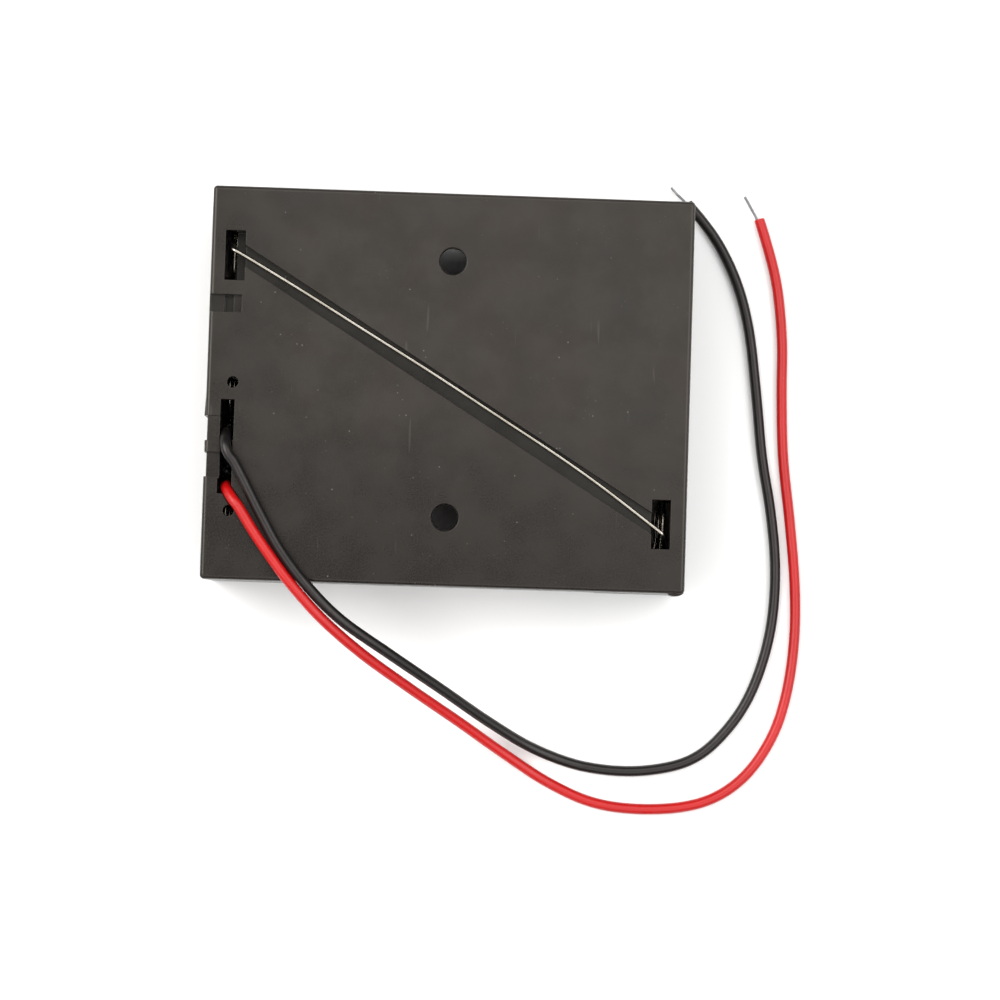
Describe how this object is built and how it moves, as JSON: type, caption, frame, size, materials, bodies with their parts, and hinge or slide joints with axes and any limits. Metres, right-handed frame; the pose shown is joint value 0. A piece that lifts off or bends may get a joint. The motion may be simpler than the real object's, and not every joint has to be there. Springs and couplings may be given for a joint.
{
  "type": "cylindrical cell holder",
  "caption": "Open plastic holder for cylindrical cells side by side, with coiled wire contacts, a wire groove across its screw-down back and free bare-ended leads.",
  "frame": {"origin": "centre of the plane of the walls' rim, which is the open side that the holder lies on, leads left out", "axes": "+X along the cells towards the end with two negative springs, +Y across the bays towards the bay whose positive contact is in the corner at low X, +Z out of the mounting back"},
  "size_m": [0.0738, 0.0786, 0.0163],
  "materials": {
    "housing_plastic": "satin moulded charcoal polypropylene",
    "spring_wire": "nickel-plated spring steel wire",
    "black_insulation": "satin extruded soft PVC",
    "red_insulation": "satin extruded soft PVC",
    "tinned_conductor": "tinned copper strands",
    "solder": "dull tin solder"
  },
  "bodies": {
    "root": {"housing": "housing_plastic", "diagonal_link_spring": "spring_wire", "bridge_spring": "spring_wire", "negative_terminal_spring": "spring_wire", "positive_terminal_spring": "spring_wire", "black_lead": "black_insulation", "red_lead": "red_insulation", "black_bare_end": "tinned_conductor", "red_bare_end": "tinned_conductor", "black_inner_core": "tinned_conductor", "red_inner_core": "tinned_conductor", "black_solder_joint": "solder", "red_solder_joint": "solder"}
  },
  "joints": []
}
